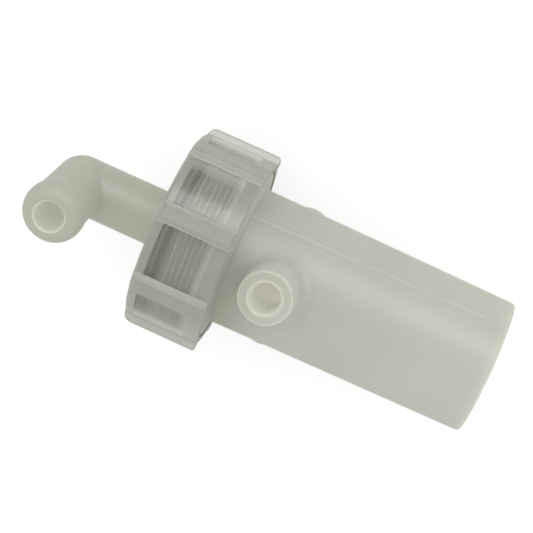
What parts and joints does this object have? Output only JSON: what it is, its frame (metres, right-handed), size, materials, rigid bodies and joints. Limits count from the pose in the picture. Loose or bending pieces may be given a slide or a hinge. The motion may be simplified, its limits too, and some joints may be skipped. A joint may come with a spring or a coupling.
{
  "type": "deck fill cap",
  "caption": "Vented deck fill fitting in natural nylon: filler tube with side hose port, ribbed union nut and swivelling vent elbow.",
  "frame": {"origin": "middle of the bounding box at its lowest point, under the tube's axis", "axes": "+X along the tube towards its open end, +Z along the side hose port, which points up"},
  "size_m": [0.1278, 0.055, 0.0565],
  "materials": {
    "natural_nylon": "moulded natural nylon, milky and slightly see-through, soft sheen",
    "clear_nylon": "thin translucent moulding, the thread and seals show through",
    "dark_rubber": "matt",
    "green_rubber": "matt",
    "white_acetal": "smooth"
  },
  "bodies": {
    "housing": {"filler_body": "natural_nylon", "neck_gasket": "dark_rubber"},
    "nut_thrust": {"slip_washer": "white_acetal"},
    "nut": {"union_nut": "clear_nylon"},
    "elbow": {"vent_elbow": "natural_nylon", "spigot_o_ring": "green_rubber", "valve_seat": "dark_rubber", "float_cage": "white_acetal", "cage_retainer": "white_acetal"},
    "float": {"float_ball": "white_acetal"}
  },
  "joints": [
    {"name": "nut_advance", "type": "slide", "parent": "housing", "child": "nut_thrust", "axis": [-1, 0, 0], "range_m": [0, 0.0096]},
    {"name": "nut_turn", "type": "hinge", "parent": "nut_thrust", "child": "nut", "pos_m": [-0.02015, 0, 0.02746], "axis": [-1, 0, 0], "range_deg": [0, 1080]},
    {"name": "elbow_swivel", "type": "hinge", "parent": "housing", "child": "elbow", "pos_m": [-0.02615, 0, 0.02746], "axis": [1, 0, 0], "continuous": true},
    {"name": "float_rise", "type": "slide", "parent": "elbow", "child": "float", "axis": [-1, 0, 0], "range_m": [0, 0.0066]}
  ],
  "couplings": [
    {"joint": "nut_advance", "follows": "nut_turn", "m_per_rad": 0.0005093}
  ]
}
